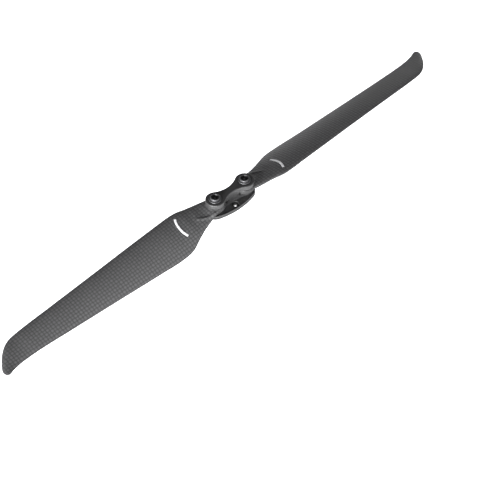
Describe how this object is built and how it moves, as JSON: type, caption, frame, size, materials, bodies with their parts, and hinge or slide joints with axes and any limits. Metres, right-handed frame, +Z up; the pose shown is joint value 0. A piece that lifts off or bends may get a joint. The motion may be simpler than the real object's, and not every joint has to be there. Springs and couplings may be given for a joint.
{
  "type": "folding drone propeller",
  "caption": "Folding propeller: twisted carbon blades pivot on screws between a lens-shaped motor plate and a bone-shaped cover.",
  "frame": {"origin": "on the spin axis, on the flat underside of the hub base that sits on the motor", "axes": "+Z up along the spin axis away from the motor, +X along the blade that is stored pointing that way, +Y completes the right-handed frame and is the side of that blade's trailing edge"},
  "size_m": [0.5334, 0.0526, 0.0201],
  "materials": {
    "hub_nylon": "black glass-filled nylon, fine moulded grain",
    "carbon": "matte woven carbon fibre composite",
    "black_steel": "black-oxide steel, satin",
    "bare_steel": "ground steel",
    "bronze": "plain bearing bronze",
    "bearing_polymer": "low-friction bearing polymer"
  },
  "bodies": {
    "hub": {"hub_base": "hub_nylon", "hub_cover": "hub_nylon", "pivot_screw_a": "black_steel", "pivot_screw_b": "black_steel", "head_washer_a": "black_steel", "head_washer_b": "black_steel", "pivot_nut_a": "black_steel", "pivot_nut_b": "black_steel", "pivot_sleeve_a": "bare_steel", "pivot_sleeve_b": "bare_steel", "lower_thrust_washer_a": "bearing_polymer", "lower_thrust_washer_b": "bearing_polymer", "upper_thrust_washer_a": "bearing_polymer", "upper_thrust_washer_b": "bearing_polymer"},
    "blade_a": {"blade_a": "carbon", "root_bush_a": "bronze"},
    "blade_b": {"blade_b": "carbon", "root_bush_b": "bronze"}
  },
  "joints": [
    {"name": "blade_a_fold", "type": "hinge", "parent": "hub", "child": "blade_a", "pos_m": [0.0175, 0, 0.0099], "axis": [0, 0, 1], "range_deg": [-90, 90]},
    {"name": "blade_b_fold", "type": "hinge", "parent": "hub", "child": "blade_b", "pos_m": [-0.0175, 0, 0.0099], "axis": [0, 0, -1], "range_deg": [-90, 90]}
  ]
}
